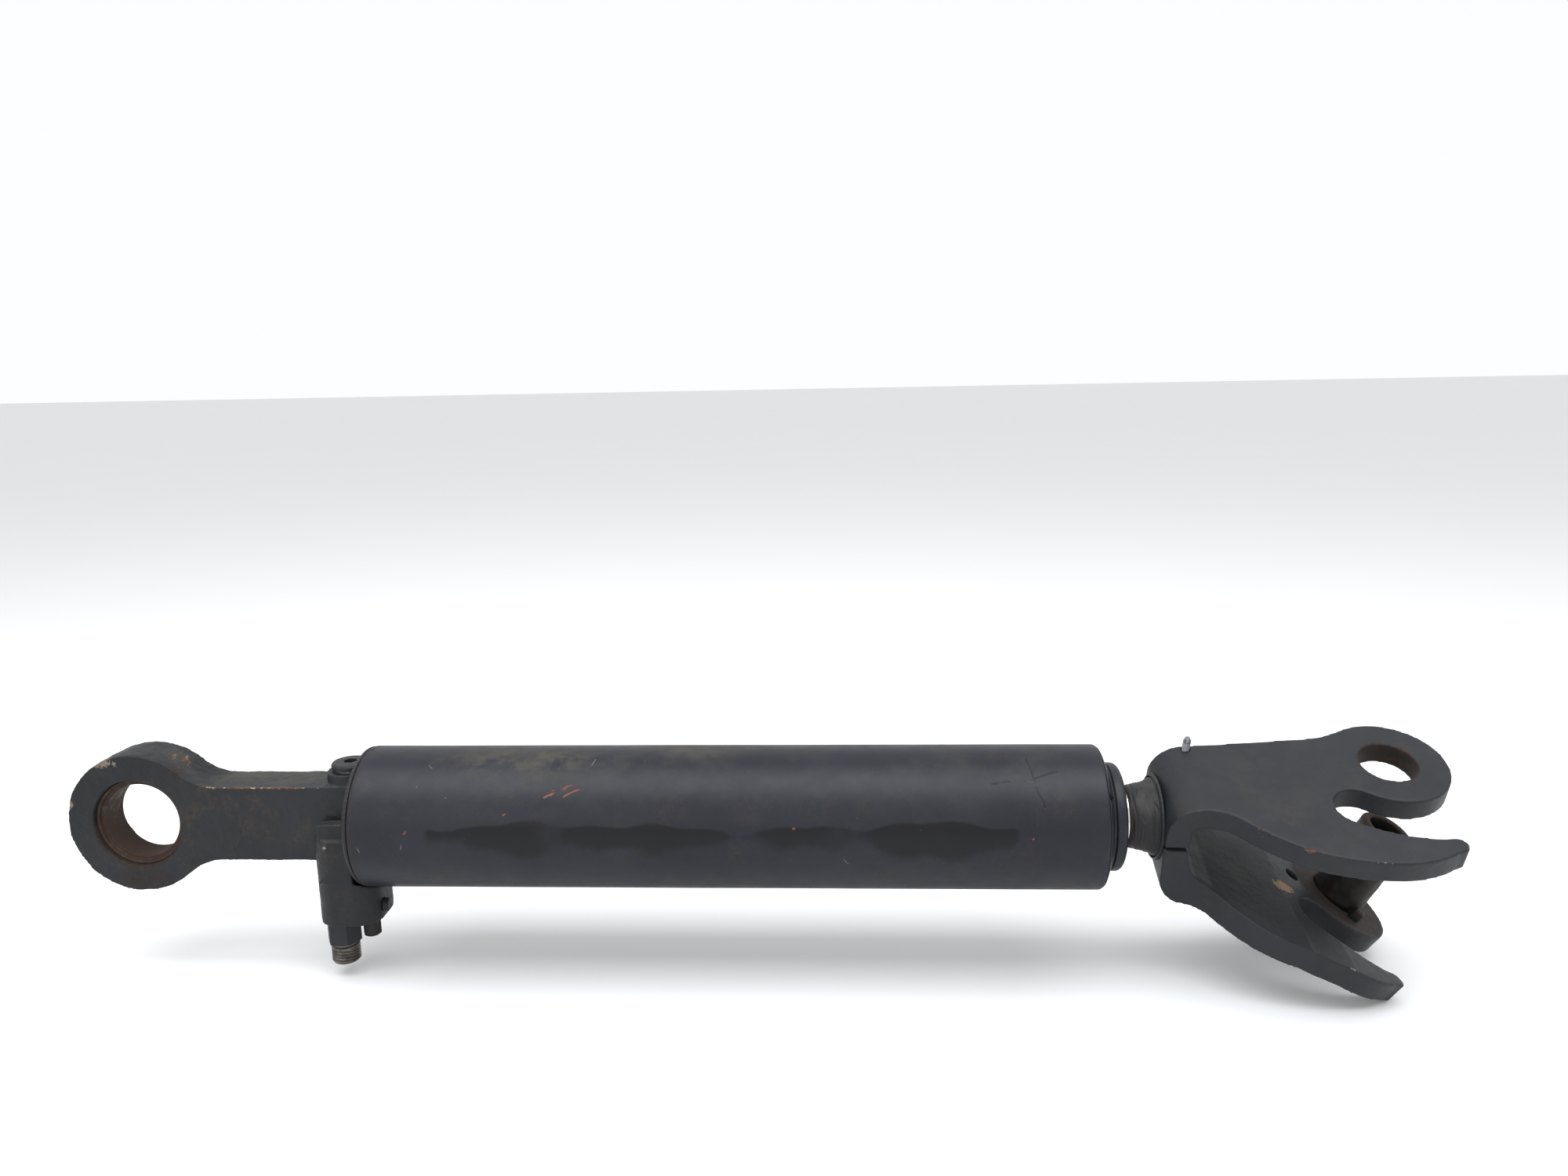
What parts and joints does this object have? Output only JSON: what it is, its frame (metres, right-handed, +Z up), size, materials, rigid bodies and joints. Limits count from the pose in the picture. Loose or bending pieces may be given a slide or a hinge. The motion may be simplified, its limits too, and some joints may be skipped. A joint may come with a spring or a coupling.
{
  "type": "telescopic hydraulic cylinder",
  "caption": "Two-stage telescopic hydraulic cylinder with a bushed base eye, side ports at the base and a splayed, hooked fork on the rod end, shown retracted.",
  "frame": {"origin": "centre of the base eye's bore", "axes": "+X along the cylinder from the base eye to the fork, Y along the base eye's bore, +Z up; the pressure port points to -Z"},
  "size_m": [1.065, 0.1795, 0.1889],
  "materials": {
    "body_paint": "satin, chipped",
    "barrel_paint": "semi-gloss, scratched",
    "fork_paint": "satin, worn at the edges",
    "eye_bush_steel": "rust stained",
    "port_steel": "dull, oily",
    "ground_steel": "ground",
    "rod_chrome": "polished",
    "seal_rubber": "matte",
    "guide_plastic": "matte",
    "worn_steel": "worn, rust stained",
    "zinc": "zinc plated"
  },
  "bodies": {
    "barrel": {"base_eye": "body_paint", "eye_bush": "eye_bush_steel", "base_head": "body_paint", "base_weld": "body_paint", "barrel_tube": "barrel_paint", "port_block": "body_paint", "port_adapter": "port_steel", "port_seal": "seal_rubber", "blanking_plug": "body_paint", "side_plug": "body_paint", "bleed_plug": "body_paint", "bleed_washer": "port_steel", "barrel_gland": "barrel_paint", "gland_o_ring": "seal_rubber", "barrel_guide_ring": "guide_plastic", "barrel_seal": "seal_rubber", "barrel_wiper": "seal_rubber"},
    "stage": {"stage_tube": "ground_steel", "stage_bearing_ring": "guide_plastic", "stage_stop_ring": "ground_steel", "stage_collar": "barrel_paint", "collar_o_ring": "seal_rubber", "stage_guide_ring": "guide_plastic", "stage_seal": "seal_rubber", "stage_wiper": "seal_rubber"},
    "rod_slider": {"rod_bearing_ring": "guide_plastic"},
    "rod": {"rod": "rod_chrome", "rod_stop_ring": "ground_steel", "rod_end_nut": "ground_steel", "rod_neck": "body_paint", "neck_weld": "body_paint", "fork_upper_cheek": "fork_paint", "fork_lower_cheek": "fork_paint", "fork_bush": "worn_steel", "bush_key": "worn_steel", "lock_screw": "zinc"}
  },
  "joints": [
    {"name": "stage_slide", "type": "slide", "parent": "barrel", "child": "stage", "axis": [1, 0, 0], "range_m": [0, 0.44]},
    {"name": "rod_slide", "type": "slide", "parent": "stage", "child": "rod_slider", "axis": [1, 0, 0], "range_m": [0, 0.43]},
    {"name": "rod_turn", "type": "hinge", "parent": "rod_slider", "child": "rod", "pos_m": [0.78, 0, 0], "axis": [1, 0, 0], "continuous": true}
  ]
}
